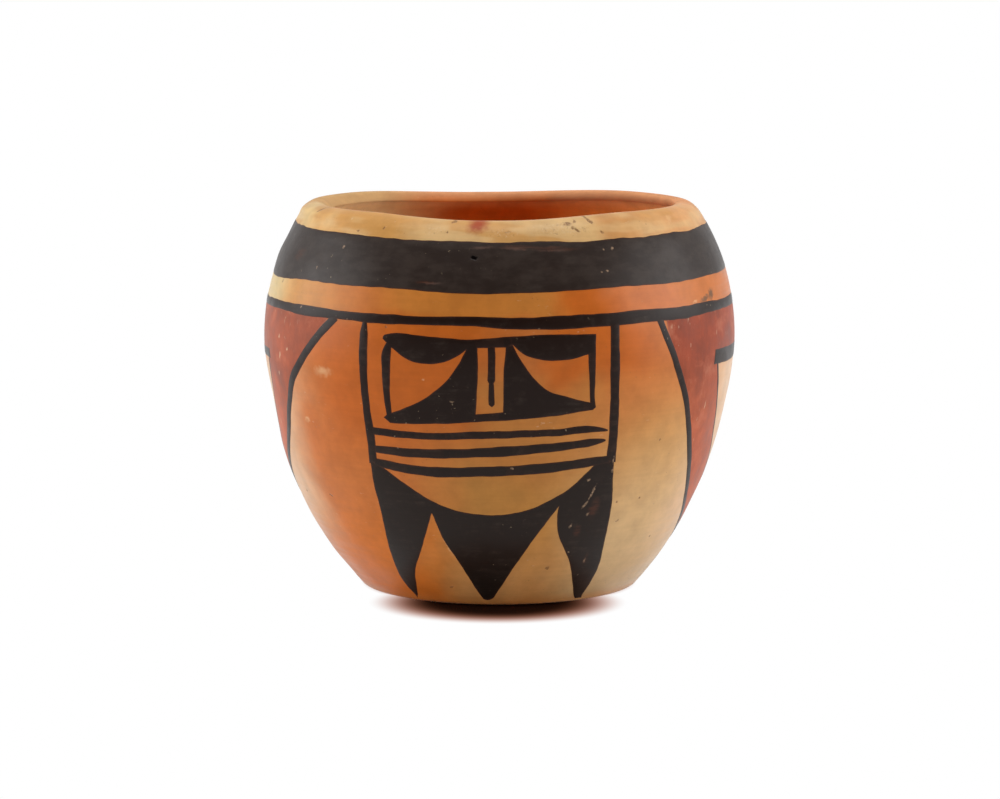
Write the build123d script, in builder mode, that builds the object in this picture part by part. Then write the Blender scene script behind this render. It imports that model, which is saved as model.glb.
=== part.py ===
"""A small hand-built painted jar: a pressed base, lapped clay coils and brushed layers of slip and paint.

The jar stands on z = 0 with its axis on Z, and its main painted panel faces -Y. All sizes are in millimetres.
"""
import os
from math import asin, cos, degrees, radians, sin, sqrt

from build123d import *

os.makedirs("parts", exist_ok=True)

# Clay body
jar_height = 83.6
belly_diameter = 102.0
belly_height = 54.6
belly_turn = 6.0            # degrees that the round of the belly runs on below its widest ring
lower_wall_radius = 93.0    # the flatter curve from there down to the heel
heel_radius = 6.5
wall_thickness = 5.4
floor_thickness = 7.0
floor_corner_radius = 8.0
lip_outer_radius = 5.2
lip_inner_radius = 1.4

# Coils
base_dish_height = 17.0
rim_coil_height = 13.2
wall_coil_count = 5
coil_lap = 3.0              # how far each coil reaches down inside the one below

# Bands
paint_thickness = 0.2
paint_clearance = 0.1       # between the clay and the layer of paint that follows it
rim_margin = 4.3
band_width = 10.5
band_gap = 5.1
line_width = 1.9

# Painted panel, hung from the framing line
bar_spacing = 51.6
bar_width = 1.4
window_margin = 3.2         # bare clay between a bar and the window's frame
window_drop = 2.3
window_depth = 17.2
window_side_width = 1.2
brow_side_depth = 3.0
brow_depth = 5.3
brow_tip_depth = 2.4
sill_depth = 1.4
post_width = 9.8            # the dark post between the two fields, at the tips of the brows
post_flare = 3.4            # how far the post has spread to each side at the flare's depth
post_flare_depth = 9.0
slot_width = 6.1
slot_drop = 1.8
slot_sill = 1.5
stroke_width = 1.0
stroke_gap = 1.5
stripe_count = 3
stripe_width = 1.6
stripe_gap = 2.2
stripe_point = 3.0
stripe_end_gap = 1.2
moon_margin = 3.5           # paint between a bar's inner edge and the corner of the half-moon
moon_depth = 9.3
crescent_width = 2.3        # paint left between the half-moon and each notch
notch_spacing = 26.6
side_tip_spacing = 34.4
side_pendant_bulge = 2.2
tip_height = 2.0

# Red figures at the sides, hung from the framing line
wing_margin = 9.0           # bare clay on the framing line between a bar and the wing's corner
wing_tip_height = 13.0
wing_bulge = 4.5
outline_width = 1.4
wing_bar_drop = 8.1
wing_bar_thickness = 3.3
wing_bar_length = 44.0
wing_bar_overhang = 1.5
wing_gap_tip_height = 21.0
wing_gap_bulge = 2.0
wing_gap_line_width = 0.8

# Centres, heights and widths that follow from these
belly_radius = belly_diameter / 2
belly_centre = (0, belly_height)
lower_centre_offset = lower_wall_radius - belly_radius
lower_centre = (
    -lower_centre_offset * cos(radians(belly_turn)),
    belly_height + lower_centre_offset * sin(radians(belly_turn)),
)
band_top = jar_height - rim_margin
band_foot = band_top - band_width
line_top = band_foot - band_gap
line_foot = line_top - line_width
bar_inner_edge = (bar_spacing - bar_width) / 2
bar_outer_edge = (bar_spacing + bar_width) / 2
window_half_width = bar_inner_edge - window_margin
window_top = line_foot - window_drop
window_foot = window_top - window_depth
slot_depth = window_depth - slot_drop - slot_sill
stroke_length = slot_depth - stroke_gap
stripe_pitch = stripe_width + stripe_gap
moon_top = window_foot - stripe_count * stripe_pitch
moon_half_width = bar_inner_edge - moon_margin
moon_foot = moon_top - moon_depth
moon_radius = (moon_half_width**2 + moon_depth**2) / (2 * moon_depth)
moon_rise_at_notch = moon_radius - sqrt(moon_radius**2 - (notch_spacing / 2) ** 2)
notch_height = moon_foot + moon_rise_at_notch - crescent_width
wing_bar_top = line_foot - wing_bar_drop
wing_bar_foot = wing_bar_top - wing_bar_thickness
wing_gap_half_width = wing_bar_length / 2 - wing_bar_overhang


def outer_radius(height):
    """Radius of the clay's outside at a height between the heel and the lip."""
    turn_height = belly_height - belly_radius * sin(radians(belly_turn))
    if height > turn_height:
        return sqrt(belly_radius**2 - (height - belly_height) ** 2)
    return lower_centre[0] + sqrt(lower_wall_radius**2 - (height - lower_centre[1]) ** 2)


def form_outline(growth, foot, top):
    """Closed half outline of the jar's form, grown outwards, between two heights."""
    lower_radius = lower_wall_radius + growth
    upper_radius = belly_radius + growth
    foot_angle = degrees(asin((foot - lower_centre[1]) / lower_radius))
    top_angle = degrees(asin((top - belly_height) / upper_radius))
    lower_wall = CenterArc(lower_centre, lower_radius, foot_angle, -belly_turn - foot_angle)
    upper_wall = CenterArc(belly_centre, upper_radius, -belly_turn, belly_turn + top_angle)
    Polyline(upper_wall @ 1, (0, top), (0, foot), lower_wall @ 0)


def outside_form(growth):
    """Half section of the whole outside, with the heel and the outer edge of the lip rounded."""
    with BuildSketch() as form:
        with BuildLine():
            form_outline(growth, -growth, jar_height + growth)
        make_face()
        fillet(form.vertices().group_by(Axis.Y)[0].sort_by(Axis.X)[-1], heel_radius + growth)
        fillet(form.vertices().group_by(Axis.Y)[-1].sort_by(Axis.X)[-1], lip_outer_radius + growth)
    return form.sketch


with BuildSketch() as hollow:
    with BuildLine():
        form_outline(-wall_thickness, floor_thickness, jar_height)
    make_face()
    fillet(hollow.vertices().group_by(Axis.Y)[0].sort_by(Axis.X)[-1], floor_corner_radius)

with BuildSketch() as wall_section:
    add(outside_form(0))
    add(hollow.sketch, mode=Mode.SUBTRACT)
    mouth_edge = wall_section.vertices().group_by(Axis.Y)[-1].sort_by(Axis.X)[0]
    fillet(mouth_edge, min(lip_inner_radius, wall_thickness / 4))


def coil_joint(height):
    """Line of a lap joint across the wall: outside at height, and lower by the lap inside."""
    outside = outer_radius(height)
    inside = outer_radius(height - coil_lap) - wall_thickness
    run_out = wall_thickness
    drop = run_out * coil_lap / (outside - inside)
    return [
        (0, height - coil_lap - drop),
        (inside - run_out, height - coil_lap - drop),
        (outside + run_out, height + drop),
        (belly_diameter, height + drop),
    ]


def export_piece(piece, name):
    """Name a finished piece and write it to its own file."""
    piece.label = name
    export_step(piece, f"parts/{name}.step")


# Clay: the pressed base, the wall coils and the rim coil
coil_height = (jar_height - base_dish_height - rim_coil_height) / wall_coil_count
joint_heights = [base_dish_height + i * coil_height for i in range(wall_coil_count + 1)]
below_foot = [(0, -jar_height), (belly_diameter, -jar_height)]
above_lip = [(0, 2 * jar_height), (belly_diameter, 2 * jar_height)]
zone_edges = [below_foot] + [coil_joint(height) for height in joint_heights] + [above_lip]
coil_names = ["base_dish"] + [f"wall_coil_{i + 1}" for i in range(wall_coil_count)] + ["rim_coil"]

for name, lower_edge, upper_edge in zip(coil_names, zone_edges, zone_edges[1:]):
    with BuildPart() as coil:
        with BuildSketch(Plane.XZ):
            add(wall_section.sketch)
            with BuildLine():
                Polyline(*lower_edge, *reversed(upper_edge), close=True)
            make_face(mode=Mode.INTERSECT)
        revolve(axis=Axis.Z)
    export_piece(coil.part, name)

# Paint: a thin layer over the whole outside, from which bands and figures are cut
with BuildSketch() as paint_section:
    add(outside_form(paint_clearance + paint_thickness))
    add(outside_form(paint_clearance), mode=Mode.SUBTRACT)


def paint_ring(foot, top):
    """The layer of paint between two heights, all the way round."""
    with BuildPart() as ring:
        with BuildSketch(Plane.XZ):
            add(paint_section.sketch)
            with Locations((belly_radius, (foot + top) / 2)):
                Rectangle(belly_diameter, top - foot, mode=Mode.INTERSECT)
        revolve(axis=Axis.Z)
    return ring.part


export_piece(paint_ring(band_foot, band_top), "shoulder_band")
export_piece(paint_ring(line_foot, line_top), "framing_line")
figure_skin = paint_ring(0, line_foot)


def paint_figure(figure, plane, name):
    """Cut a figure, drawn flat, out of the layer of paint on the side that a plane faces."""
    with BuildPart() as film:
        add(figure_skin)
        with BuildSketch(plane):
            add(figure)
        extrude(amount=belly_diameter, mode=Mode.INTERSECT)
    export_piece(film.part, name)


# Panel figures, drawn with x across the panel and y up from the foot
with BuildSketch() as panel_bars:
    with Locations(*[(side * bar_spacing / 2, (line_foot + moon_top) / 2) for side in (-1, 1)]):
        Rectangle(bar_width, line_foot - moon_top)

with BuildSketch() as panel_window:
    with Locations((0, (window_top + window_foot) / 2)):
        Rectangle(2 * window_half_width, window_depth)
    field_edge = window_half_width - window_side_width
    for side in (-1, 1):
        brow_end = (side * field_edge, window_top - brow_side_depth)
        brow_middle = (side * (field_edge + post_width / 2) / 2, window_top - brow_depth)
        brow_tip = (side * post_width / 2, window_top - brow_tip_depth)
        flare = (side * (post_width / 2 + post_flare), window_top - post_flare_depth)
        sill_end = (side * field_edge, window_foot + sill_depth)
        with BuildLine():
            ThreePointArc(brow_end, brow_middle, brow_tip)
            ThreePointArc(brow_tip, flare, sill_end)
            Line(sill_end, brow_end)
        make_face(mode=Mode.SUBTRACT)
    with Locations((0, window_top - slot_drop - slot_depth / 2)):
        Rectangle(slot_width, slot_depth, mode=Mode.SUBTRACT)

with BuildSketch() as panel_centre_stroke:
    with Locations((0, window_top - slot_drop - stroke_length / 2)):
        Rectangle(stroke_width, stroke_length)

with BuildSketch() as panel_stripes:
    for i in range(stripe_count):
        stripe_top = window_foot - stripe_gap - i * stripe_pitch
        stripe_foot = stripe_top - stripe_width
        joins_both_bars = i == stripe_count - 1
        stripe_end = bar_inner_edge - (0 if joins_both_bars else stripe_end_gap)
        point = 0 if joins_both_bars else stripe_point
        with BuildLine():
            Polyline(
                (-bar_inner_edge, stripe_foot),
                (stripe_end - point, stripe_foot),
                (stripe_end, (stripe_top + stripe_foot) / 2),
                (stripe_end - point, stripe_top),
                (-bar_inner_edge, stripe_top),
                close=True,
            )
        make_face()

with BuildSketch() as panel_pendants:
    with BuildLine():
        Line((-bar_outer_edge, moon_top), (bar_outer_edge, moon_top))
        for side in (-1, 1):
            side_tip = (side * side_tip_spacing / 2, tip_height)
            notch = (side * notch_spacing / 2, notch_height)
            SagittaArc((side * bar_outer_edge, moon_top), side_tip, side * side_pendant_bulge)
            Polyline(side_tip, notch, (0, tip_height))
    make_face()
    with BuildLine():
        moon_corner = (moon_half_width, moon_top)
        opposite_corner = (-moon_half_width, moon_top)
        Line(opposite_corner, moon_corner)
        ThreePointArc(opposite_corner, (0, moon_foot), moon_corner)
    make_face(mode=Mode.SUBTRACT)

panel_figures = {
    "bars": panel_bars,
    "window": panel_window,
    "centre_stroke": panel_centre_stroke,
    "stripes": panel_stripes,
    "pendants": panel_pendants,
}
for place, plane in {"front": Plane.front, "back": Plane.back}.items():
    for name, figure in panel_figures.items():
        paint_figure(figure.sketch, plane, f"{place}_{name}")


def pointed_field(half_width, top, tip, bulge):
    """A field with a straight top and two bowed sides that meet in a point."""
    with BuildSketch() as field:
        with BuildLine():
            Line((-half_width, top), (half_width, top))
            for side in (-1, 1):
                SagittaArc((side * half_width, top), (0, tip), side * bulge)
        make_face()
    return field.sketch


# Side figures: a red field that comes to a point, its black outline, and the bar over the bare gap in it
line_radius = outer_radius(line_foot)
wing_corner_angle = asin(bar_outer_edge / line_radius) + wing_margin / line_radius
wing_half_width = line_radius * cos(wing_corner_angle)
wing = pointed_field(wing_half_width, line_foot + outline_width, wing_tip_height, wing_bulge)
wing_gap = pointed_field(wing_gap_half_width, wing_bar_foot, wing_gap_tip_height, wing_gap_bulge)

with BuildSketch() as wing_inside:
    add(wing)
    offset(amount=-outline_width)

with BuildSketch() as gap_inside:
    add(wing_gap)
    offset(amount=-wing_gap_line_width)

with BuildSketch() as wing_outline:
    add(wing)
    add(wing_inside.sketch, mode=Mode.SUBTRACT)

with BuildSketch() as wing_bar:
    add(wing_gap)
    add(gap_inside.sketch, mode=Mode.SUBTRACT)
    with Locations((0, (wing_bar_top + wing_bar_foot) / 2)):
        Rectangle(wing_bar_length, wing_bar_thickness)

with BuildSketch() as wing_slip:
    add(wing_inside.sketch)
    add(wing_gap, mode=Mode.SUBTRACT)
    add(wing_bar.sketch, mode=Mode.SUBTRACT)

wing_figures = {"wing_outline": wing_outline, "wing_slip": wing_slip, "wing_bar": wing_bar}
for place, plane in {"right": Plane.right, "left": Plane.left}.items():
    for name, figure in wing_figures.items():
        paint_figure(figure.sketch, plane, f"{place}_{name}")
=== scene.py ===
"""A small hand-built painted jar, dressed for rendering: burnished clay, brushed black paint and red slip.

The jar stands on z = 0 with its main painted panel towards -Y. Shapes are worked out in millimetres,
azimuths run from the front (0) towards +X, and meshes are made in metres.
"""
import random
from math import atan2, cos, degrees, pi, radians, sin, sqrt

import bpy
import numpy as np
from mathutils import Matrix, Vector
from mathutils.geometry import delaunay_2d_cdt


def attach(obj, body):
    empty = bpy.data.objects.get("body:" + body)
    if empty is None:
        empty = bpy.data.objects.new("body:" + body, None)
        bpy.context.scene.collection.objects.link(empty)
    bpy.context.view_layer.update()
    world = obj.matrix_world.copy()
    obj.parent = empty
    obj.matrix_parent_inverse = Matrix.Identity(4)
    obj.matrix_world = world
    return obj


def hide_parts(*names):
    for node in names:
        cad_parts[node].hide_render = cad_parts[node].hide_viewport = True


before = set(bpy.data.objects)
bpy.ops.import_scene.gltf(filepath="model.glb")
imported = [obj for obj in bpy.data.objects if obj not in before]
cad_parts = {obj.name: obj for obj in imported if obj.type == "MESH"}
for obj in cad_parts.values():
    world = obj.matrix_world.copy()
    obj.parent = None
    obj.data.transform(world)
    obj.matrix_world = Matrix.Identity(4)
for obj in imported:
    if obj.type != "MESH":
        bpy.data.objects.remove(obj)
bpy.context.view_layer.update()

MM = 0.001
scene = bpy.context.scene

# The clay's form, as in the solids
JAR_HEIGHT = 83.6
BELLY_RADIUS = 51.0
BELLY_HEIGHT = 54.6
BELLY_TURN = radians(6.0)
LOWER_RADIUS = 93.0
HEEL_RADIUS = 6.5
WALL = 5.4
FLOOR = 7.0
FLOOR_CORNER = 8.0
LIP_OUTER = 5.2
LIP_INNER = 0.8
LIP_WALL = 4.3  # the wall thins towards the lip

# What the hand-made form adds to it. Four heights are those where a change starts, is full, fades and ends.
LIP_SLOPE = 1.1  # how far the lip's top slopes down into the mouth
MOUTH_SHIFT = 1.1  # how far the mouth stands to the right, so that the lip is thicker on the left
LIP_LEVEL = -0.03
LIP_DIP = 1.05  # at the front and at the back
DIP_HEIGHTS = (58.0, 80.0)  # the wall below the lip follows its dips
LIP_REACH = {-120.0: 1.0, 120.0: 0.5}  # azimuths where the mouth is a little wider, and by how much
REACH_TURNS = (12.0, 32.0)
SIDE_FLAT = 0.45  # scraped flat low on the left
SIDE_FLAT_HEIGHTS = (28.0, 38.0, 42.0, 52.0)
LIP_FLAT = 0.35  # and again below the lip
LIP_FLAT_HEIGHTS = (72.0, 77.0, 81.0, 82.6)
FULL = 0.15  # the lower wall is a little fuller
FULL_HEIGHTS = (8.0, 16.0, 26.0, 36.0)
LEAN = 0.15  # and stands a little to the left of the mouth
LEAN_HEIGHTS = (4.0, 14.0, 30.0, 52.0)
HEEL_OUT = 0.6  # the heel is rounded off by the setting down of the soft jar
HEEL_OUT_TOP = 1.2
HEEL_IN = 0.45
HEEL_IN_HEIGHTS = (0.4, 2.0, 2.5, 9.0)

# Mesh sizes
COLUMNS = 384
WALL_STEP = 1.1
LIP_STEP = 0.45
INSIDE_STEP = 1.5
DISC_STEP = 3.0
BAND_COLUMNS = 720
OUTLINE_STEP = 0.45
GRID_STEP = 1.3
INSET = 0.3

# Paint layers
SUNK = 0.1  # how far a layer's hidden face lies inside the clay
BLACK_LIFT = 0.06
RED_LIFT = 0.03
WING_ROUND = 51.0  # millimetres across a side figure for each radian of azimuth
ROUND = 0.87  # millimetres round the outside for each degree of azimuth
SHARP_ANGLE = radians(40.0)
FRAME_HEIGHT = 62.4  # the framing line covers what ends at this height
GAP_LINE = 0.85  # width of the line round the bare gap of a side figure
SLIP_IN = 0.985  # the slip and its gap are drawn in to the figure's middle by these factors
GAP_IN = 0.99


def smooth(low, high, value):
    """0 below low, 1 above high, and an even slope between them."""
    share = np.clip((value - low) / (high - low), 0, 1)
    return share * share * (3 - 2 * share)


def between(value, low, start, end, high):
    """1 while a value is between start and end, falling to 0 at low and high."""
    return smooth(low, start, value) * (1 - smooth(end, high, value))


def tangent_centre(centre, reach, height):
    """Centre, at a height, of an arc that runs smoothly on from one about another centre."""
    return (centre[0] + sqrt(reach**2 - (height - centre[1]) ** 2), height)


def heading(start, end):
    return atan2(end[1] - start[1], end[0] - start[0])


BELLY_CENTRE = (0.0, BELLY_HEIGHT)
LOWER_CENTRE = (
    -(LOWER_RADIUS - BELLY_RADIUS) * cos(BELLY_TURN),
    BELLY_HEIGHT + (LOWER_RADIUS - BELLY_RADIUS) * sin(BELLY_TURN),
)
HEEL_CENTRE = tangent_centre(LOWER_CENTRE, LOWER_RADIUS - HEEL_RADIUS, HEEL_RADIUS)
LIP_CENTRE = tangent_centre(BELLY_CENTRE, BELLY_RADIUS - LIP_OUTER, JAR_HEIGHT - LIP_OUTER)
MOUTH_CENTRE = tangent_centre(BELLY_CENTRE, BELLY_RADIUS - LIP_WALL + LIP_INNER, JAR_HEIGHT - LIP_INNER)
CORNER_CENTRE = tangent_centre(LOWER_CENTRE, LOWER_RADIUS - WALL - FLOOR_CORNER, FLOOR + FLOOR_CORNER)
HEEL_TURN = heading(LOWER_CENTRE, HEEL_CENTRE)
LIP_TURN = heading(BELLY_CENTRE, LIP_CENTRE)
MOUTH_TURN = heading(BELLY_CENTRE, MOUTH_CENTRE)
CORNER_TURN = heading(LOWER_CENTRE, CORNER_CENTRE)
HEEL_TOP = LOWER_CENTRE[1] + LOWER_RADIUS * sin(HEEL_TURN)
BELLY_FOOT = BELLY_HEIGHT - BELLY_RADIUS * sin(BELLY_TURN)
LIP_FOOT = BELLY_HEIGHT + BELLY_RADIUS * sin(LIP_TURN)


def waves(seed, count, turns, lengths, size):
    """A smooth wandering function of azimuth and height, the same on every run."""
    dice = random.Random(seed)
    terms = []
    for _ in range(count):
        turn = dice.randint(*turns)
        rise = 2 * pi / dice.uniform(*lengths) * dice.choice((-1, 1))
        terms.append((turn, rise, dice.uniform(0, 2 * pi), size * dice.uniform(0.6, 1.0) / sqrt(count)))

    def value(theta, z):
        return sum(a * np.sin(k * theta + m * z + p) for k, m, p, a in terms)

    return value


slow_wave = waves(11, 5, (2, 5), (60, 160), 0.14)
burnish_wave = waves(12, 18, (6, 22), (9, 34), 0.055)
pinch_wave = waves(13, 8, (3, 11), (9, 24), 0.3)


def outside_depth(theta, z):
    """How far the scraped and burnished outside stands off the true form."""
    leftward = -np.sin(theta)
    flat = SIDE_FLAT * smooth(0.3, 1.0, leftward) * between(z, *SIDE_FLAT_HEIGHTS)
    flat = flat + LIP_FLAT * smooth(0.5, 0.9, leftward) * between(z, *LIP_FLAT_HEIGHTS)
    full = FULL * between(z, *FULL_HEIGHTS)
    uneven = (slow_wave(theta, z) + burnish_wave(theta, z)) * (1 - 0.85 * smooth(78.0, JAR_HEIGHT, z))
    return (uneven + full - flat) * smooth(0.0, 5.0, z)


def turn_from(theta, azimuth):
    """Degrees between azimuths and a given one."""
    return np.abs((np.degrees(theta) - azimuth + 180) % 360 - 180)


def near(theta, azimuth, full, none):
    """1 within some degrees of an azimuth, falling to 0 at some more."""
    return 1 - smooth(full, none, turn_from(theta, azimuth))


def lip_reach(theta):
    """How far the lip stands out where the mouth is a little wider, behind each side."""
    return sum(reach * near(theta, azimuth, *REACH_TURNS) for azimuth, reach in LIP_REACH.items())


def lip_shift(theta):
    """The uneven lip: level at the sides, with a dip at the front and another at the back."""
    return LIP_LEVEL - LIP_DIP * (near(theta, 0.0, 4.0, 44.0) + near(theta, -173.0, 2.0, 50.0))


def heel_reach(z):
    """How far the heel stands off its true arc."""
    return HEEL_OUT * (1 - smooth(0.0, HEEL_OUT_TOP, z)) - HEEL_IN * between(z, *HEEL_IN_HEIGHTS)


def formed(theta, r, z, nr, nz, depth, inward=0.0):
    """Points in metres from places on the true half section, moved by a depth along their normals.

    inward is 0 on the outside and 1 on the inside, and rises from one to the other across the lip.
    """
    lip = smooth(82.0, 83.4, z) * (1 - inward) + smooth(66.0, 83.0, z) * inward
    reach = r + depth * nr + lip_reach(theta) * lip + heel_reach(z)
    shift = MOUTH_SHIFT * smooth(0.6, 1.0, inward) * smooth(50.0, 78.0, z)
    x = reach * np.sin(theta) - LEAN * between(z, *LEAN_HEIGHTS) + shift
    y = -reach * np.cos(theta)
    slope = LIP_SLOPE * smooth(0.42, 0.85, inward) * smooth(78.0, 82.8, z)
    height = z + depth * nz + lip_shift(theta) * smooth(*DIP_HEIGHTS, z) - slope
    return np.stack([x, y, height], -1) * MM


def outside_section(z):
    """Radius and normal of the true outside at heights from the heel to the lip."""
    def on_arc(centre, radius):
        rise = np.clip((z - centre[1]) / radius, -1, 1)
        run = np.sqrt(1 - rise * rise)
        return centre[0] + radius * run, run, rise

    lower = [on_arc(HEEL_CENTRE, HEEL_RADIUS), on_arc(LOWER_CENTRE, LOWER_RADIUS)]
    upper = [on_arc(BELLY_CENTRE, BELLY_RADIUS), on_arc(LIP_CENTRE, LIP_OUTER)]
    below = [z < HEEL_TOP, z < BELLY_FOOT, z < LIP_FOOT]
    return [np.select(below, found[:3], found[3]) for found in zip(*lower, *upper)]


def true_height(theta, z):
    """Heights on the true form that the uneven lip carries to the given heights."""
    nominal = z
    for _ in range(6):
        nominal = z - lip_shift(theta) * smooth(*DIP_HEIGHTS, nominal)
    return nominal


def on_jar(theta, z, lift):
    """Points in metres on the outside of the clay at azimuths and heights, raised by a lift."""
    nominal = true_height(theta, z)
    r, nr, nz = outside_section(nominal)
    return formed(theta, r, nominal, nr, nz, outside_depth(theta, nominal) + lift)


def distance_along(points):
    """Length along a line of points, from its start to each of them."""
    return np.concatenate([[0], np.cumsum(np.hypot(*np.diff(points, axis=0).T))])


# Clay body

def arc(centre, radius, start, end, step, side=1):
    """Rows (r, z, nr, nz) along an arc of the half section. side is -1 where the arc bounds the inside."""
    count = max(2, round(abs(end - start) * radius / step))
    angle = np.linspace(start, end, count + 1)
    run, rise = np.cos(angle), np.sin(angle)
    return np.stack([centre[0] + radius * run, centre[1] + radius * rise, side * run, side * rise], 1)


def level(start, end, z, normal, step):
    """Rows along a level stretch of the half section."""
    count = max(1, round(abs(end - start) / step))
    r = np.linspace(start, end, count + 1)
    return np.stack([r, np.full_like(r, z), np.zeros_like(r), np.full_like(r, normal)], 1)


def joined(stretches):
    return np.concatenate([stretches[0]] + [s[1:] for s in stretches[1:]])


def add_object(name, data):
    item = bpy.data.objects.new(name, data)
    scene.collection.objects.link(item)
    return item


def new_piece(name, verts, faces, material):
    """A named piece of the object from vertices and faces, on the one body."""
    mesh = bpy.data.meshes.new(name)
    mesh.from_pydata(verts, [], faces)
    mesh.polygons.foreach_set("use_smooth", [True] * len(mesh.polygons))
    mesh.materials.append(material)
    piece = add_object(name, mesh)
    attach(piece, "root")
    return piece


def make_clay(material):
    """The whole clay body: foot, outside, lip, inside and floor as one closed skin."""
    outside = joined([
        level(DISC_STEP, HEEL_CENTRE[0], 0.0, -1, DISC_STEP),
        arc(HEEL_CENTRE, HEEL_RADIUS, -pi / 2, HEEL_TURN, LIP_STEP),
        arc(LOWER_CENTRE, LOWER_RADIUS, HEEL_TURN, -BELLY_TURN, WALL_STEP),
        arc(BELLY_CENTRE, BELLY_RADIUS, -BELLY_TURN, LIP_TURN, WALL_STEP),
    ])
    lip = joined([
        arc(LIP_CENTRE, LIP_OUTER, LIP_TURN, pi / 2, LIP_STEP),
        level(LIP_CENTRE[0], MOUTH_CENTRE[0], JAR_HEIGHT, 1, LIP_STEP),
        arc(MOUTH_CENTRE, LIP_INNER, pi / 2, pi + MOUTH_TURN, LIP_INNER / 4),
    ])
    upper = arc(BELLY_CENTRE, BELLY_RADIUS - LIP_WALL, MOUTH_TURN, -BELLY_TURN, INSIDE_STEP, -1)
    upper[:, :2] += upper[:, 2:] * ((WALL - LIP_WALL) * (1 - smooth(58.0, 78.0, upper[:, 1])))[:, None]
    inside = joined([
        upper,
        arc(LOWER_CENTRE, LOWER_RADIUS - WALL, -BELLY_TURN, CORNER_TURN, INSIDE_STEP, -1),
        arc(CORNER_CENTRE, FLOOR_CORNER, CORNER_TURN, -pi / 2, INSIDE_STEP, -1),
        level(CORNER_CENTRE[0], DISC_STEP, FLOOR, 1, DISC_STEP),
    ])
    rows = joined([outside, lip, inside])
    inward = np.concatenate([
        np.zeros(len(outside)), np.linspace(0, 1, len(lip) + 1)[1:-1], np.ones(len(inside))
    ])[:len(rows), None]
    theta = np.linspace(-pi, pi, COLUMNS, endpoint=False)
    r, z, nr, nz = [rows[:, k, None] for k in range(4)]
    depth_inside = pinch_wave(theta, z) * smooth(FLOOR, FLOOR + 10, z) * (1 - smooth(72.0, 81.0, z))
    depth = outside_depth(theta, z) * (1 - inward) + depth_inside * inward
    points = formed(theta, r, z, nr, nz, depth, inward).reshape(-1, 3)
    count = len(rows)
    foot, floor = len(points), len(points) + 1
    verts = list(map(tuple, points)) + [(0, 0, 0), (0, 0, FLOOR * MM)]
    faces = []
    places = []                 # (u, v) of each face corner
    along = distance_along(rows[:, :2])
    v = 0.02 + 0.96 * along / along[-1]
    for j in range(COLUMNS):
        k = (j + 1) % COLUMNS
        u0, u1 = j / COLUMNS, (j + 1) / COLUMNS
        faces.append((foot, k, j))
        places += [((u0 + u1) / 2, 0.0), (u1, v[0]), (u0, v[0])]
        for i in range(count - 1):
            a, b = i * COLUMNS, (i + 1) * COLUMNS
            faces.append((a + j, a + k, b + k, b + j))
            places += [(u0, v[i]), (u1, v[i]), (u1, v[i + 1]), (u0, v[i + 1])]
        last = (count - 1) * COLUMNS
        faces.append((last + j, last + k, floor))
        places += [(u0, v[-1]), (u1, v[-1]), ((u0 + u1) / 2, 1.0)]
    piece = new_piece("clay_body", verts, faces, material)
    piece.data.uv_layers.new(name="OFBake").data.foreach_set("uv", np.array(places).ravel())
    share = np.concatenate([np.repeat(inward, COLUMNS), [0.0, 1.0]])
    piece.data.attributes.new("inward", "FLOAT", "POINT").data.foreach_set("value", share)
    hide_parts("base_dish", *[f"wall_coil_{i}" for i in range(1, 6)], "rim_coil")


# Paint layers

def curve(points):
    """Points close together on a smooth curve through a few given points."""
    p = np.array(points, float)
    chord = np.hypot(*np.diff(p, axis=0).T)
    t = distance_along(p)
    slope = np.diff(p, axis=0) / chord[:, None]
    tangent = np.empty_like(p)
    tangent[0], tangent[-1] = slope[0], slope[-1]
    if len(p) > 2:
        weight = (chord[:-1] / (chord[:-1] + chord[1:]))[:, None]
        tangent[1:-1] = slope[:-1] * (1 - weight) + slope[1:] * weight
        tangent[0] = 1.5 * slope[0] - 0.5 * tangent[1]
        tangent[-1] = 1.5 * slope[-1] - 0.5 * tangent[-2]
    s = np.linspace(0, t[-1], max(2, round(t[-1] / OUTLINE_STEP)) + 1)
    i = np.clip(np.searchsorted(t, s, side="right") - 1, 0, len(chord) - 1)
    h = chord[i]
    q = (s - t[i]) / h
    q, h = q[:, None], h[:, None]
    return (
        (2 * q**3 - 3 * q**2 + 1) * p[i] + (q**3 - 2 * q**2 + q) * h * tangent[i]
        + (3 * q**2 - 2 * q**3) * p[i + 1] + (q**3 - q**2) * h * tangent[i + 1]
    )


def outline(*stretches):
    """A closed outline from smooth stretches, each of which starts where the one before it ends."""
    starts = [s[0] for s in stretches]
    ends = starts[1:] + starts[:1]
    return np.concatenate([curve(list(s) + [end])[:-1] for s, end in zip(stretches, ends)])


def sides(loop):
    """Unit normals at a loop's points, to the right of its direction."""
    along = np.roll(loop, -1, axis=0) - np.roll(loop, 1, axis=0)
    along /= np.maximum(np.hypot(*along.T), 1e-9)[:, None]
    return np.stack([along[:, 1], -along[:, 0]], 1)


def brushed(loop, seed, size):
    """The same outline with the small unevenness of a brush held by hand."""
    dice = random.Random(seed)
    gaps = np.hypot(*(np.roll(loop, -1, axis=0) - loop).T)
    way = np.concatenate([[0], np.cumsum(gaps)[:-1]]) / gaps.sum()
    off = np.zeros(len(loop))
    for length, share in ((24, 1.0), (13, 0.9), (7, 0.6), (4, 0.35), (2.2, 0.2)):
        turns = max(1, round(gaps.sum() / (length * dice.uniform(0.8, 1.25))))
        off += size * share * np.sin(2 * pi * (turns * way + dice.random()))
    return loop + sides(loop) * off[:, None]


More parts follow.
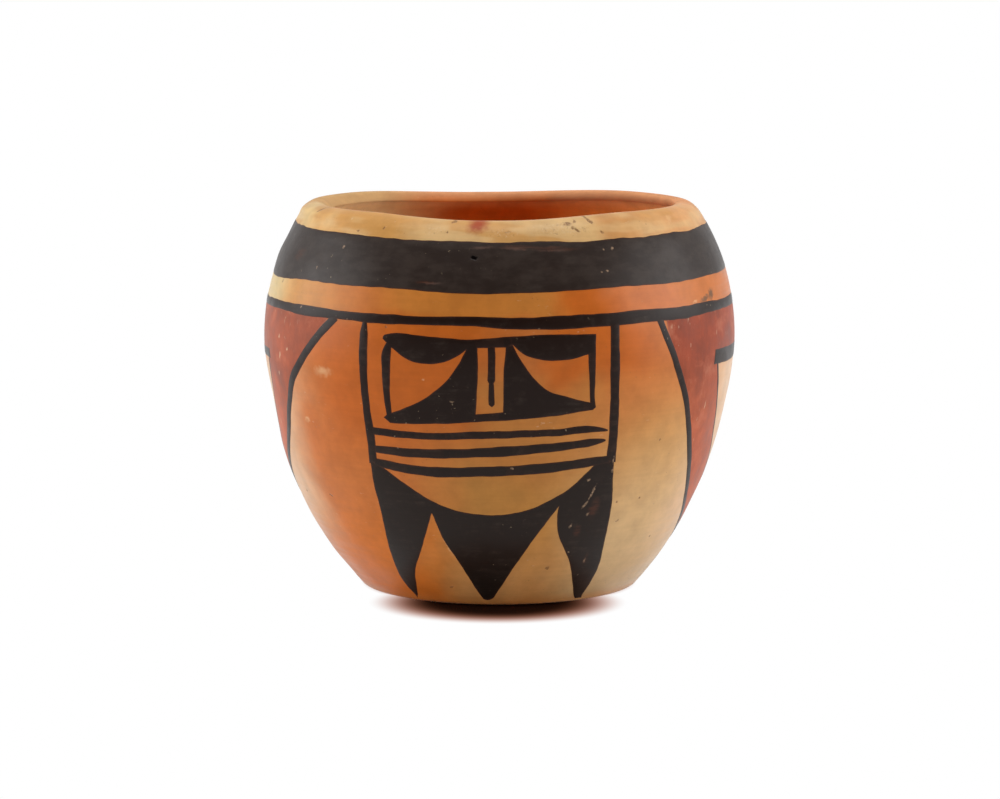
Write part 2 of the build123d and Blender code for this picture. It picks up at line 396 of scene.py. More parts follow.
def stroke(points, width, ends=(0.0, 0.0), swell=0.0):
    """The closed outline of a brush stroke along a curve. ends are the lengths over which it tapers."""
    line = curve(points)
    along = np.gradient(line, axis=0)
    along /= np.hypot(*along.T)[:, None]
    across = np.stack([-along[:, 1], along[:, 0]], 1)
    way = distance_along(line)
    half = np.full(len(line), width / 2) * (1 + swell * np.sin(pi * way / way[-1]))
    for reach, taper in zip((way, way[-1] - way), ends):
        if taper:
            half = half * np.sqrt(np.clip(reach / taper, 0.02, 1))
    return np.concatenate([line - across * half[:, None], (line + across * half[:, None])[::-1]])


def within(points, loop):
    """True where a point lies inside a closed outline."""
    x, y = points[:, 0, None], points[:, 1, None]
    x0, y0 = loop[:, 0], loop[:, 1]
    x1, y1 = np.roll(x0, -1), np.roll(y0, -1)
    spans = (y0 > y) != (y1 > y)
    rise = np.where(y1 == y0, 1e-12, y1 - y0)
    crossing = x0 + (y - y0) * (x1 - x0) / rise
    return (np.sum(spans & (x < crossing), axis=1) % 2).astype(bool)


def covered(points, loops, holes):
    inside = np.zeros(len(points), bool)
    for loop in loops:
        inside |= within(points, loop)
    for hole in holes:
        inside &= ~within(points, hole)
    return inside


def gap_to(points, others):
    """Distance from each point to the nearest of some others."""
    return np.sqrt(((points[:, None] - others) ** 2).sum(-1).min(1))


def edge_distance(points, starts, ends):
    """Distance from each point to the nearest of some straight edges."""
    way = ends - starts
    length = np.maximum((way**2).sum(1), 1e-12)
    best = np.full(len(points), 1e9)
    for k in range(0, len(points), 500):
        off = points[k:k + 500, None] - starts
        share = np.clip((off * way).sum(-1) / length, 0, 1)
        apart = off - share[..., None] * way
        best[k:k + 500] = np.sqrt((apart**2).sum(-1).min(1))
    return best


def finish_layer(name, theta, z, edge, faces, rim, flat, lift, material):
    """A thin closed layer on the clay: its face, its hidden face in the clay, and the walls at its edges."""
    count = len(theta)
    raised = lift * (0.25 + 0.75 * smooth(0.0, INSET, edge))
    top = on_jar(theta, z, raised)
    under = on_jar(theta, z, -SUNK)
    walls = [(b, a, a + count, b + count) for a, b in rim]
    hidden = [tuple(i + count for i in reversed(f)) for f in faces]
    verts = list(map(tuple, np.concatenate([top, under])))
    piece = new_piece(f"{name}_coat", verts, list(faces) + hidden + walls, material)
    mesh = piece.data
    mesh.set_sharp_from_angle(angle=SHARP_ANGLE)
    mesh.attributes.new("edge", "FLOAT", "POINT").data.foreach_set("value", np.tile(edge, 2))
    low, high = flat.min(0), flat.max(0)
    place = 0.01 + 0.98 * (flat - low) / (high - low) * (1.0, 0.85)     # the face takes most of the sheet
    spare = np.array((0.01, 0.9)) + (place - 0.01) * (1.0, 0.08)
    corners = [place[i] for f in faces for i in f]
    corners += [spare[i % count] for f in hidden + walls for i in f]
    mesh.uv_layers.new(name="OFBake").data.foreach_set("uv", np.array(corners).ravel())
    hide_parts(name)


def make_figure(name, seed, loops, holes, to_theta, lift, size, material):
    """A painted figure: the ground that brushed outlines cover together, less some holes, on the clay."""
    dice = random.Random(seed)
    loops = [brushed(l, dice.random(), size) for l in loops]
    holes = [brushed(l, dice.random(), size) for l in holes]
    every = loops + holes
    shore = np.concatenate(every)
    low, high = shore.min(0), shore.max(0)
    across = np.arange(low[0], high[0], GRID_STEP)
    up = np.arange(low[1], high[1], GRID_STEP * sqrt(3) / 2)
    grid = np.array([(a + GRID_STEP / 2 * (k % 2), b) for k, b in enumerate(up) for a in across])
    inset = np.concatenate([l + s * INSET * sides(l) for l in every for s in (-1, 1)])
    inset = inset[gap_to(inset, shore) > 0.75 * INSET]
    spare = np.concatenate([inset, grid[gap_to(grid, shore) > 2 * INSET]])
    spare = spare[covered(spare, loops, holes)]
    edges = []
    first = 0
    for loop in every:
        edges += [(first + i, first + (i + 1) % len(loop)) for i in range(len(loop))]
        first += len(loop)
    points = [Vector(p) for p in np.concatenate([shore, spare])]
    found, _, faces, *_ = delaunay_2d_cdt(points, edges, [], 0, 1e-5)
    flat = np.array([tuple(p) for p in found])
    middle = flat[np.array(faces)].mean(1)
    faces = [tuple(f) for f, keep in zip(faces, covered(middle, loops, holes)) if keep]
    used = sorted({i for f in faces for i in f})
    index = {old: new for new, old in enumerate(used)}
    flat = flat[used]
    faces = [tuple(index[i] for i in f) for f in faces]
    seen = {(f[i], f[(i + 1) % 3]) for f in faces for i in range(3)}
    rim = [(a, b) for a, b in seen if (b, a) not in seen]
    ends = np.array(rim)
    edge = edge_distance(flat, flat[ends[:, 0]], flat[ends[:, 1]])
    finish_layer(name, to_theta(flat), flat[:, 1], edge, faces, rim, flat, lift, material)


def make_band(name, foot, top, seed, lift, material):
    """A painted ring between two heights that wander a little with the azimuth."""
    theta = np.linspace(-pi, pi, BAND_COLUMNS, endpoint=False)
    slow = [waves(seed + k, 7, (4, 18), (1e6, 2e6), 0.17) for k in (0, 1)]
    quick = [waves(seed + k, 9, (24, 80), (1e6, 2e6), 0.05) for k in (2, 3)]
    low = foot(theta) + slow[0](theta, 0.0) + quick[0](theta, 0.0)
    high = top(theta) + slow[1](theta, 0.0) + quick[1](theta, 0.0)
    width = (high - low).mean()
    inner = max(2, round((width - 2 * INSET) / GRID_STEP))
    share = np.concatenate([[0], np.linspace(INSET, width - INSET, inner + 1), [width]]) / width
    z = low + (high - low) * share[:, None]
    rows, count = z.shape
    edge = np.minimum(share, 1 - share)[:, None] * (high - low)
    around = np.broadcast_to(theta, z.shape).ravel()
    faces = []
    rim = []
    for j in range(count):
        k = (j + 1) % count
        for i in range(rows - 1):
            faces.append((i * count + j, i * count + k, (i + 1) * count + k, (i + 1) * count + j))
        rim.append((j, k))
        rim.append(((rows - 1) * count + k, (rows - 1) * count + j))
    flat = np.stack([around, np.broadcast_to(share[:, None], z.shape).ravel()], 1)
    finish_layer(name, around, z.ravel(), edge.ravel(), faces, rim, flat, lift, material)


def make_panel(place, azimuth, seed, material):
    """The painted panel: two bars, the window with its two fields, a centre stroke, stripes and pendants."""
    def to_theta(points):
        r, _, _ = outside_section(points[:, 1])
        return azimuth + np.arcsin(np.clip(points[:, 0] / r, -1, 1))

    def figure(name, loops, holes=(), lift=BLACK_LIFT, size=0.045):
        draws = f"{place} {name} {seed}"
        make_figure(f"{place}_{name}", draws, loops, holes, to_theta, lift, size, material)

    figure("bars", [
        stroke([(-25.6, 62.6), (-26.05, 52.1), (-25.45, 43.7), (-24.7, 38.2), (-24.2, 32.0)],
               1.7, (3.2, 0.0)),
        stroke([(25.7, 62.6), (25.85, 52.4), (25.7, 42.7), (25.0, 32.6)], 1.85),
    ])
    frame_line = outline(
        [(-21.8, 58.7), (-21.6, 59.3), (-20.5, 59.65), (-12.0, 59.5), (-3.3, 59.15), (5.4, 59.75),
         (14.0, 60.05)],
        [(21.9, 59.8), (21.85, 52.0), (21.7, 46.4)],
        [(22.0, 44.6)],
        [(21.4, 44.05), (14.2, 43.15), (3.4, 42.35), (-10.2, 41.4), (-17.0, 41.15)],
        [(-20.4, 41.15)],
        [(-21.8, 42.2)],
        [(-21.2, 42.8), (-21.65, 46.0), (-22.05, 51.2), (-21.85, 56.3)],
        [(-20.95, 57.9)],
    )
    left_field = outline(
        [(-19.95, 56.9), (-16.9, 54.8), (-12.5, 53.9), (-8.4, 54.6)],
        [(-4.5, 57.0), (-6.35, 53.7), (-8.7, 50.4), (-13.1, 46.7)],
        [(-20.1, 43.2), (-20.35, 50.0)],
    )
    right_field = outline(
        [(5.0, 58.1), (6.9, 54.6), (8.9, 51.7), (11.7, 48.8), (16.5, 46.95)],
        [(20.8, 45.6), (20.6, 50.5)],
        [(20.3, 55.6), (16.2, 54.7), (11.5, 54.85), (7.5, 56.0)],
    )
    slot = outline(
        [(-2.15, 57.35)], [(3.55, 57.45), (3.15, 50.0)], [(3.05, 44.1)], [(-2.55, 43.6), (-2.2, 50.0)],
    )
    figure("window", [frame_line], [left_field, right_field, slot], size=0.04)
    figure("centre_stroke", [
        stroke([(0.6, 57.9), (0.7, 54.0), (0.6, 49.8)], 1.55, (0.3, 0.9)),
        stroke([(0.65, 50.7), (0.65, 48.0), (0.75, 45.2)], 1.2, (0.7, 0.5)),
    ], size=0.03)
    figure("stripes", [
        stroke([(-24.7, 39.2), (-17.0, 38.7), (-0.8, 39.2), (14.0, 39.6), (20.5, 40.0), (24.4, 39.5)],
               1.55, (0.0, 4.5)),
        stroke([(-24.0, 35.2), (-12.0, 34.9), (-3.5, 35.3), (12.0, 36.3), (23.9, 37.4)],
               1.65, (0.0, 3.5), 0.25),
        stroke([(-24.2, 32.4), (-13.0, 31.05), (0.0, 31.35), (12.0, 32.0), (24.9, 33.3)],
               1.75, swell=0.25),
    ], lift=BLACK_LIFT - 0.006)
    pendants = outline(
        [(-25.0, 32.9), (-23.85, 26.0), (-22.95, 21.1), (-21.4, 12.1), (-19.1, 4.4)],
        [(-16.3, 1.0), (-16.35, 6.8), (-14.5, 13.5)],
        [(-12.0, 21.7), (-10.1, 16.7), (-6.8, 11.0), (-2.9, 3.2)],
        [(-1.9, 1.7), (-1.1, 1.4), (-0.2, 1.7)],
        [(0.8, 3.0), (5.75, 11.1), (10.4, 18.0)],
        [(14.4, 23.5), (14.0, 20.0), (14.1, 17.0), (15.0, 14.2), (15.9, 11.6), (16.9, 6.0)],
        [(17.2, 0.9)],
        [(18.5, 0.9), (20.6, 4.6), (22.45, 9.4), (23.95, 16.9), (25.1, 23.5)],
        [(25.6, 32.8)],
        [(21.9, 32.3), (14.1, 25.8), (7.3, 22.65), (-0.6, 21.75), (-9.1, 23.4), (-16.1, 27.0)],
        [(-21.2, 30.8)],
    )
    figure("pendants", [pendants], lift=BLACK_LIFT - 0.012, size=0.05)


def make_wing(place, side, width, edge_line, bar_start, bar_heights, gap_line, tips, black, red):
    """A red side figure that comes to a point, its outline, and the bar over the bare gap in it.

    edge_line and gap_line are points (azimuth from the front in degrees, height) on the half nearer the
    front, and the other half repeats them. tips are the heights at which the outline and the gap end.
    """
    tip_height, gap_tip = tips

    def to_theta(points):
        return side * pi / 2 + points[:, 0] / WING_ROUND

    def flat(points, front=True):
        turn = -side if front else side
        return [(turn * WING_ROUND * radians(90 - a), z) for a, z in points]

    def drawn_in(points, share):
        return [(across * share, z) for across, z in points]

    def figure(name, loops, holes, lift, material, slot, size):
        draws = f"{place} {name}"
        make_figure(f"{place}_{name}", draws, loops, holes, to_theta, lift, size, material)

    line = edge_line + [(90.0, tip_height)]
    front_side, back_side = flat(line), flat(line, False)
    figure("wing_outline", [
        stroke(front_side, width, swell=0.12), stroke(back_side, width, swell=0.15),
    ], [], BLACK_LIFT - 0.006, black, "black_paint", 0.05)

    bar_top, bar_foot = bar_heights
    bar_loop = outline(
        flat([(bar_start, bar_foot)]),
        flat([(bar_start + 0.6, bar_top)]),
        flat([(bar_start + 0.6, bar_top)], False),
        flat([(bar_start, bar_foot)], False),
    )
    gap = gap_line + [(90.0, gap_tip)]
    front_gap, back_gap = flat(gap), flat(gap, False)
    figure("wing_bar", [
        bar_loop, stroke(front_gap, GAP_LINE), stroke(back_gap, GAP_LINE),
    ], [], BLACK_LIFT, black, "black_paint", 0.04)

    # The slip ends below the middle of the outline, and its top corners below the framing line
    field = outline(
        [(front_side[0][0] * 0.955, FRAME_HEIGHT)] + drawn_in(front_side[1:-1], SLIP_IN),
        [(0.0, tip_height + 0.6)] + drawn_in(back_side[-2::-1], SLIP_IN),
        [(back_side[0][0] * 0.97, FRAME_HEIGHT)],
        [(front_side[0][0] * 0.94, FRAME_HEIGHT)],
    )
    gap_top = bar_top - 0.4
    hole = outline(
        drawn_in(front_gap[:-1], GAP_IN),
        [(0.0, gap_tip + 0.4)] + drawn_in(back_gap[-2::-1], GAP_IN),
        [(back_gap[0][0] * GAP_IN, gap_top)],
        [(front_gap[0][0] * GAP_IN, gap_top)],
    )
    figure("wing_slip", [field], [hole], RED_LIFT, red, "red_slip", 0.07)


# Materials

SHEEN = 0.12
SHEEN_ROUGHNESS = 0.35
BURNISHED_RELIEF = 0.00004
BRUSHED_RELIEF = 0.00005
MARK_NOISE = 1100.0  # waves in a metre, for the uneven edges of marks
WHITE = (1.0, 1.0, 1.0)


class Nodes:
    """Short calls for building a material or a world from nodes."""

    def __init__(self, owner):
        owner.use_nodes = True
        self.owner = owner
        self.tree = owner.node_tree

    def link(self, value, socket):
        if isinstance(value, bpy.types.NodeSocket):
            self.tree.links.new(value, socket)
        else:
            socket.default_value = (*value, 1.0) if socket.type == "RGBA" else value

    def add(self, kind, *values, **settings):
        """A node with some settings, and with values for its first inputs."""
        node = self.tree.nodes.new(f"ShaderNode{kind}")
        for key, value in settings.items():
            setattr(node, key, value)
        for socket, value in zip(node.inputs, values):
            self.link(value, socket)
        return node

    def fill(self, node, **values):
        for name, value in values.items():
            self.link(value, node.inputs[name])
        return node

    def length(self, vector):
        return self.add("VectorMath", vector, operation="LENGTH").outputs["Value"]

    def math(self, operation, *values):
        """Two or more values joined in order by one operation."""
        total = values[0]
        for value in values[1:]:
            total = self.add("Math", total, value, operation=operation).outputs[0]
        return total

    def product(self, *factors):
        return self.math("MULTIPLY", *factors)

    def slope(self, value, low, high, start=0.0, end=1.0):
        """An even rise from start to end while a value goes from low to high."""
        node = self.add("MapRange", value, low, high, start, end, interpolation_type="SMOOTHSTEP")
        return node.outputs[0]

    def between(self, value, low, start, end, high):
        """1 while a value is between start and end, falling to 0 at low and high."""
        return self.product(self.slope(value, low, start), self.slope(value, high, end))

    def mix(self, share, a, b):
        """A colour between two others."""
        node = self.add("Mix", share, data_type="RGBA")
        self.link(a, node.inputs[6])
        self.link(b, node.inputs[7])
        return node.outputs[2]

    def blend(self, share, a, b):
        """A shader between two others."""
        return self.add("MixShader", share, a.outputs[0], b.outputs[0])

    def seen(self, *kinds):
        """1 for the given kinds of ray."""
        path = self.add("LightPath").outputs
        return self.math("MAXIMUM", *[path[f"Is {kind} Ray"] for kind in kinds])

    def show(self, shader, output):
        self.link(shader.outputs[0], self.tree.nodes[output].inputs[0])


class Surface(Nodes):
    """The nodes of a material of the jar, with the height in millimetres and the azimuth in degrees."""

    def __init__(self, name):
        super().__init__(bpy.data.materials.new(name))
        self.place = self.add("TexCoord").outputs["Object"]
        x, y, z = self.add("SeparateXYZ", self.place).outputs
        self.height = self.product(z, 1 / MM)
        self.azimuth = self.product(self.math("ARCTAN2", x, self.product(y, -1.0)), degrees(1))

    def stretched(self, x, y, z):
        return self.add("VectorMath", self.place, (x, y, z), operation="MULTIPLY").outputs[0]

    def noise(self, scale, detail=2.0, roughness=0.5, vector=None, distortion=0.0):
        """Noise from 0 to 1. scale counts its waves in a metre."""
        node = self.add("TexNoise", vector or self.place)
        self.fill(node, Scale=scale, Detail=detail, Roughness=roughness, Distortion=distortion)
        return node.outputs[0]

    def marks(self, places, core=0.45, uneven=0.45):
        """1 in small marks on the outside, each given as the lists below say."""
        push = self.fill(self.add("TexNoise", self.place), Scale=MARK_NOISE).outputs["Color"]
        plane = self.add("CombineXYZ", self.product(self.azimuth, ROUND), self.height).outputs[0]
        spread = (2 * uneven, 2 * uneven, 0.0)
        ground = self.add("VectorMath", push, spread, plane, operation="MULTIPLY_ADD").outputs[0]
        marks = []
        for azimuth, height, long, wide, tilt in places:
            local = self.fill(
                self.add("Mapping", ground, vector_type="TEXTURE"),
                Location=(azimuth * ROUND + uneven, height + uneven, 0.0),
                Rotation=(0.0, 0.0, radians(tilt)), Scale=(long, wide, 1.0),
            )
            marks.append(self.slope(self.length(local.outputs[0]), 1.0, core))
        return self.math("MAXIMUM", *marks)

    def attribute(self, name):
        return self.add("Attribute", attribute_name=name).outputs["Fac"]

    def scaled(self, colour, factor):
        node = self.add("VectorMath", colour, operation="SCALE")
        return self.fill(node, Scale=factor).outputs[0]

    def finish(self, colour, roughness, gloss, relief, distance, sheen=SHEEN):
        bump = self.fill(self.add("Bump"), Distance=distance, Height=relief)
        looks = {
            "Base Color": colour, "Roughness": roughness, "Specular IOR Level": gloss,
            "Sheen Weight": sheen, "Sheen Roughness": SHEEN_ROUGHNESS, "Normal": bump.outputs[0],
        }
        self.fill(self.tree.nodes["Principled BSDF"], **looks)
        return self.owner


def clay_material():
    """Burnished clay, fired from orange to buff, with streaks from the burnishing stone, specks and pits."""
    n = Surface("burnished_clay")
    inside = n.attribute("inward")
    cloud = n.noise(30.0, 3.0, 0.55, distortion=0.5)
    streak = n.noise(1.0, 3.0, 0.6, n.stretched(60.0, 60.0, 1300.0))
    mottle = n.noise(230.0, 4.0, 0.6)
    grain = n.noise(2600.0)
    drift = n.math("SUBTRACT", cloud, 0.5)
    azimuth = n.math("ADD", n.azimuth, n.product(drift, 30.0))
    height = n.math("ADD", n.height, n.product(drift, 14.0))
    turned = n.math("MAXIMUM", n.azimuth, n.product(n.azimuth, -1.0))

    def field(under, tone, azimuths, heights, share=1.0, level=height):
        """A colour laid over another between four azimuths, and over two or four heights."""
        rise = n.slope(level, *heights) if len(heights) == 2 else n.between(level, *heights)
        return n.mix(n.product(n.between(azimuth, *azimuths), rise, share), under, tone)

    # Fire colours of the outside, with painted bounce light from the floor along the foot
    colour = ORANGE
    for row in FIRE_COLOURS:
        colour = field(colour, *row)
    for row in SHOULDER_COLOURS:
        colour = field(colour, *row, level=n.height)
    # painted bounce light from the floor: a paler orange along the bottom edge
    colour = n.mix(n.slope(n.height, 3.0, 0.5, 0.0, 0.5), colour, FOOT_PAINTED_BOUNCE)
    behind = n.product(n.slope(turned, 95, 140), n.slope(cloud, 0.5, 0.66), 0.6)
    colour = n.mix(behind, colour, BUFF)
    rim = RIM_BUFF
    for tone, azimuths in RIM_COLOURS:
        rim = n.mix(n.between(azimuth, *azimuths), rim, tone)
    patches = n.noise(1.0, 2.0, 0.5, n.stretched(80.0, 80.0, 330.0))
    rim = n.mix(n.slope(patches, 0.50, 0.68, 0.0, 0.5), rim, RIM_SAND)
    rim = n.mix(n.slope(patches, 0.50, 0.34, 0.0, 0.7), rim, RIM_OCHRE)
    colour = n.mix(n.slope(n.height, 76.6, 77.6), colour, rim)
    colour = n.mix(n.marks(RIM_BLUSH, 0.15, 0.6), colour, RED_BLUSH)

    # Inside and lip
    left = n.between(azimuth, -170, -128, -80, -50)
    right = n.between(azimuth, 60, 95, 150, 172)
    upper = n.slope(n.height, 58, 74)
    # the upper inside wall is paler on the left and on the right: partly the clay's buff colour, partly
    # painted light falling in through the mouth
    inner = n.mix(n.product(left, upper), INSIDE_ORANGE, INSIDE_BUFF_AND_LIGHT)
    inner = n.mix(n.product(right, upper), inner, INSIDE_PALE_AND_LIGHT)
    # painted light: a paler colour along the top of the inside wall, where light falls in over the lip
    top = n.mix(left, INSIDE_PAINTED_LIGHT, INSIDE_PAINTED_LIGHT_LEFT)
    inner = n.mix(n.slope(n.height, 77.8, 81.8, 0.0, 0.8), inner, top)
    deep = n.product(n.slope(inside, 0.55, 0.92), n.slope(right, 1.0, 0.0))
    crest = n.mix(deep, CREST_ORANGE, CREST_DEEP)
    crest = n.mix(n.between(azimuth, -156, -130, -70, -50), crest, CREST_BUFF)
    lip_behind = n.product(n.slope(turned, 70, 100), n.slope(inside, 0.1, 0.4))
    colour = n.mix(lip_behind, colour, crest)
    wall = n.slope(inside, 0.92, 1.0)
    colour = n.mix(wall, colour, inner)
    matt = n.math("MAXIMUM", lip_behind, wall)

    # Streaks, specks and marks
    streaky = n.slope(streak, 0.25, 0.75, -0.03, 0.03)
    mottled = n.slope(mottle, 0.25, 0.75, -0.09, 0.09)
    colour = n.scaled(colour, n.math("ADD", streaky, mottled, 1.0))
    patchy = n.slope(n.noise(95.0), 0.48, 0.66)
    speck = n.product(n.slope(n.noise(1500.0), 0.70, 0.76), patchy)
    colour = n.mix(n.product(speck, 0.5), colour, DARK_SPECK)
    pale = n.slope(n.noise(900.0, vector=n.stretched(0.7, 0.7, 1.8)), 0.68, 0.78)
    colour = n.mix(n.product(pale, patchy, 0.3), colour, PALE_SPECK)
    sandy = n.marks(SANDY_PATCHES, 0.3, 0.8)
    colour = n.mix(n.product(sandy, n.slope(n.noise(2300.0), 0.50, 0.66), 0.3), colour, PALE_SPECK)
    colour = n.mix(n.product(sandy, n.slope(n.noise(1500.0), 0.42, 0.30), 0.3), colour, DARK_SPECK)
    pits = n.marks(CLAY_PITS)
    colour = n.mix(n.product(pits, n.slope(grain, 0.35, 0.6, 0.45, 0.85)), colour, PIT_BROWN)
    smear = n.product(n.marks(SMEARS, 0.2, 0.9), n.slope(mottle, 0.3, 0.6, 0.5, 0.9))
    colour = n.mix(smear, colour, DARK_SPECK)
    chips = n.product(n.marks(CLAY_CHIPS, 0.0, 0.8), n.slope(mottle, 0.35, 0.6, 0.6, 1.0), 0.6)
    colour = n.mix(chips, colour, CHIP_PALE)

    roughness = n.math("ADD", n.slope(streak, 0.3, 0.7, 0.30, 0.40), n.product(inside, 0.3))
    dents = n.math("ADD", n.product(speck, -0.6), n.product(pits, -1.5))
    relief = n.math("ADD", n.product(streak, 0.35), n.product(grain, 0.2), dents)
    gloss = n.slope(matt, 0.0, 1.0, CLAY_GLOSS, MATT_GLOSS)
    sheen = n.slope(matt, 0.0, 1.0, SHEEN, 0.0)
    return n.finish(colour, roughness, gloss, relief, BURNISHED_RELIEF, sheen)


def black_material():
    """Brown-black mineral paint: thin and browner at its edges, with brush streaks, worn flecks and pits."""
    n = Surface("black_paint")
    edge = n.attribute("edge")
    streak = n.noise(1.0, 3.0, 0.6, n.stretched(110.0, 110.0, 1300.0))
    mottle = n.noise(260.0, 5.0, 0.7)
    grain = n.noise(2400.0)
    colour = n.mix(n.slope(n.height, 30.0, 44.0), BLACK, PANEL_BLACK)
    worn = n.product(n.slope(mottle, 0.45, 0.72), n.slope(streak, 0.35, 0.65))
    colour = n.mix(worn, colour, BROWN_BLACK)
    smudge = n.noise(300.0, 4.0, 0.6, n.stretched(0.7, 0.7, 1.5))
    band = n.mix(n.slope(smudge, 0.36, 0.66), BAND_BLACK, BAND_GREY)
    colour = n.mix(n.slope(n.height, 64.0, 69.0, 0.0, 0.75), colour, band)
    thin = n.product(n.slope(edge, 0.42, 0.0), n.slope(mottle, 0.35, 0.6, 0.4, 1.0), 0.7)
    colour = n.mix(thin, colour, THIN_BLACK)
    patchy = n.slope(n.noise(80.0), 0.5, 0.66)
    flecks = n.product(n.slope(n.noise(1300.0), 0.69, 0.76), patchy, 0.3)
    colour = n.mix(flecks, colour, PALE_SPECK)
    scratches = n.product(n.marks(PAINT_SCRATCHES, 0.2), n.slope(grain, 0.35, 0.6, 0.15, 0.6))
    colour = n.mix(scratches, colour, WORN_CLAY)
    brown = n.product(n.marks(BROWN_PATCHES, 0.1), n.slope(streak, 0.35, 0.6, 0.2, 0.9))
    colour = n.mix(brown, colour, THIN_BLACK)
    scuffs = n.product(n.marks(PAINT_SCUFFS, 0.0, 0.3), n.slope(streak, 0.4, 0.6, 0.05, 0.3))
    colour = n.mix(scuffs, colour, SCUFF)
    pits = n.marks(PAINT_PITS)
    colour = n.mix(pits, colour, PIT_BLACK)
    roughness = n.slope(mottle, 0.3, 0.7, 0.32, 0.44)
    relief = n.math("ADD", n.product(streak, 0.5), n.product(grain, 0.25), n.product(pits, -6.0))
    gloss = n.slope(pits, 0.0, 1.0, BLACK_GLOSS, 0.0)
    return n.finish(colour, roughness, gloss, relief, BURNISHED_RELIEF)


def red_material():
    """Dull red slip brushed on downwards, cloudy, and worn pale in places."""
    n = Surface("red_slip")
    edge = n.attribute("edge")
    brush = n.noise(1.0, 4.0, 0.65, n.stretched(330.0, 330.0, 60.0))
    mottle = n.noise(150.0, 5.0, 0.65)
    grain = n.noise(2200.0)
    cloud = n.noise(95.0, 3.0, 0.55)
    light = n.math("MAXIMUM", n.slope(n.height, 58.0, 40.0), n.slope(n.azimuth, 20.0, -20.0))
    colour = n.mix(light, DARK_RED, LIGHT_RED)
    colour = n.mix(n.slope(n.height, 50.0, 38.0), colour, LOW_RED)
    streaky = n.slope(brush, 0.3, 0.7, -0.07, 0.07)
    mottled = n.slope(mottle, 0.3, 0.7, -0.2, 0.2)
    cloudy = n.slope(cloud, 0.35, 0.65, -0.12, 0.12)
    colour = n.scaled(colour, n.math("ADD", streaky, mottled, cloudy, 1.0))
    colour = n.mix(n.slope(mottle, 0.52, 0.72, 0.0, 0.4), colour, PALE_RED)
    colour = n.mix(n.slope(edge, 0.5, 0.0, 0.0, 0.4), colour, PALE_RED)
    patchy = n.slope(n.noise(90.0), 0.46, 0.62)
    flecks = n.slope(n.noise(900.0, 3.0, vector=n.stretched(1.0, 1.0, 0.6)), 0.62, 0.74)
    colour = n.mix(n.product(flecks, patchy, 0.3), colour, PALE_SPECK)
    colour = n.mix(n.product(n.marks(SLIP_CHIPS, 0.2), 0.6), colour, PALE_SPECK)
    roughness = n.slope(mottle, 0.3, 0.7, 0.40, 0.52)
    relief = n.math("ADD", n.product(brush, 0.8), n.product(grain, 0.25))
    return n.finish(colour, roughness, RED_GLOSS, relief, BRUSHED_RELIEF)


# Colours, linear
ORANGE = (0.5, 0.145, 0.029)
DEEP_ORANGE = (0.48, 0.109, 0.0105)
BRIGHT_ORANGE = (0.58, 0.152, 0.012)
PALE_ORANGE = (0.58, 0.25, 0.09)
OCHRE = (0.43, 0.186, 0.038)
TOP_OCHRE = (0.49, 0.185, 0.031)
LOW_OCHRE = (0.53, 0.245, 0.075)
# painted bounce light from the floor along the bottom edge
FOOT_PAINTED_BOUNCE = (0.52, 0.185, 0.034)
TAN = (0.52, 0.26, 0.08)
PINK = (0.545, 0.16, 0.046)
BUFF = (0.57, 0.37, 0.18)
CREAM = (0.63, 0.39, 0.22)
PALE_BUFF = (0.55, 0.25, 0.066)
STRAW = (0.61, 0.45, 0.21)
RIM_BUFF = (0.585, 0.358, 0.15)
RIM_ORANGE = (0.515, 0.255, 0.07)
RIM_PINK = (0.485, 0.232, 0.077)
RIM_ROSE = (0.575, 0.282, 0.105)
RIM_PALE = (0.6, 0.325, 0.105)
RIM_STRAW = (0.6, 0.4, 0.165)
RIM_SAND = (0.62, 0.41, 0.19)
RIM_OCHRE = (0.5, 0.24, 0.06)
RED_BLUSH = (0.33, 0.054, 0.01)
INSIDE_ORANGE = (0.63, 0.18, 0.028)
# the upper inside wall's colours, partly the clay's own and partly painted light
INSIDE_BUFF_AND_LIGHT = (0.86, 0.78, 0.41)
INSIDE_PALE_AND_LIGHT = (0.92, 0.4, 0.1)
# painted light on the top of the inside wall, paler on the left
INSIDE_PAINTED_LIGHT = (0.9, 0.56, 0.27)
INSIDE_PAINTED_LIGHT_LEFT = (0.9, 0.74, 0.38)
CREST_ORANGE = (0.59, 0.262, 0.12)
CREST_DEEP = (0.58, 0.165, 0.04)
CREST_BUFF = (0.5, 0.295, 0.128)
DARK_SPECK = (0.13, 0.062, 0.026)
PIT_BROWN = (0.17, 0.075, 0.028)
PALE_SPECK = (0.66, 0.5, 0.32)
CHIP_PALE = (0.7, 0.44, 0.22)
WORN_CLAY = (0.5, 0.32, 0.2)
BLACK = (0.015, 0.008, 0.0054)
PANEL_BLACK = (0.0112, 0.0032, 0.001)
BROWN_BLACK = (0.028, 0.017, 0.012)
BAND_BLACK = (0.0245, 0.0155, 0.012)
BAND_GREY = (0.04, 0.0278, 0.022)
SCUFF = (0.2, 0.11, 0.085)
THIN_BLACK = (0.06, 0.02, 0.01)
PIT_BLACK = (0.003, 0.002, 0.002)
DARK_RED = (0.25, 0.041, 0.013)
LIGHT_RED = (0.325, 0.07, 0.027)
LOW_RED = (0.395, 0.086, 0.032)
PALE_RED = (0.47, 0.18, 0.105)
CLAY_GLOSS = 0.15
BLACK_GLOSS = 0.15
RED_GLOSS = 0.12
MATT_GLOSS = 0.03  # of the inside and of the lip behind it

